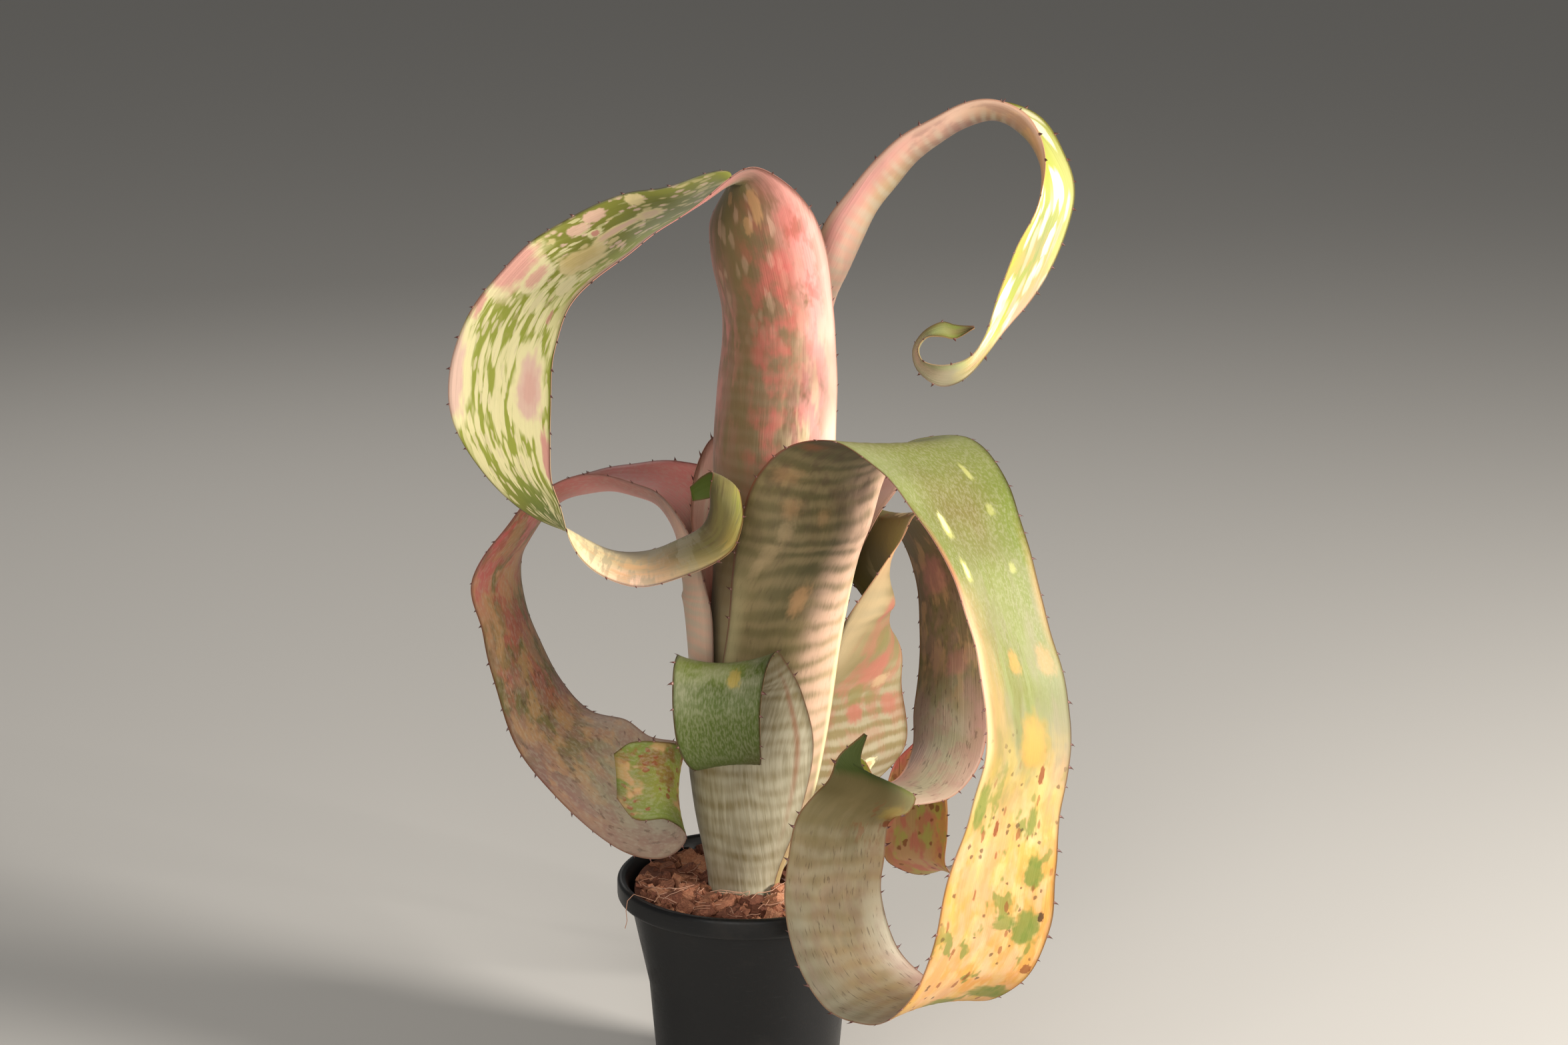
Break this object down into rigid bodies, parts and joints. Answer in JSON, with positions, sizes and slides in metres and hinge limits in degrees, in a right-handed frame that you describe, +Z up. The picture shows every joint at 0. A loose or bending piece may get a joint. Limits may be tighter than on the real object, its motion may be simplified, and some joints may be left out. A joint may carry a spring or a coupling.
{
  "type": "potted billbergia",
  "caption": "Potted bromeliad with a narrow tube of nested leaf sheaths and long spiny leaves that bend out and curl up at their ends, in a round plastic nursery pot of husk chips.",
  "frame": {"origin": "centre of the pot's flat base, where it rests", "axes": "+Z up out of the pot, -Y to the side the picture shows, +X to the right seen from there"},
  "size_m": [0.2475, 0.2202, 0.4105],
  "materials": {
    "pot": "satin black moulded plastic, faintly scuffed",
    "potting_mix": "rough brown husk chips and fibre",
    "stock": "dull pale green-brown stem",
    "leaf_banded": "olive leaf with silvery cross bands of scurf",
    "leaf_green_gold": "green to golden leaf with cream spots and rusty flecks",
    "leaf_cream_spotted": "lime green leaf with cream spots, rose outer side",
    "leaf_rose": "rose-grey leaf with green and cream blotches under fine scurf"
  },
  "bodies": {
    "root": {"pot": "pot", "potting_mix": "potting_mix", "stock": "stock", "leaf_front_lower": "leaf_banded", "leaf_front_right": "leaf_green_gold", "leaf_left_back": "leaf_rose", "leaf_right_back": "leaf_rose", "leaf_back": "leaf_rose", "leaf_front_inner": "leaf_cream_spotted", "leaf_innermost": "leaf_cream_spotted"}
  },
  "joints": []
}
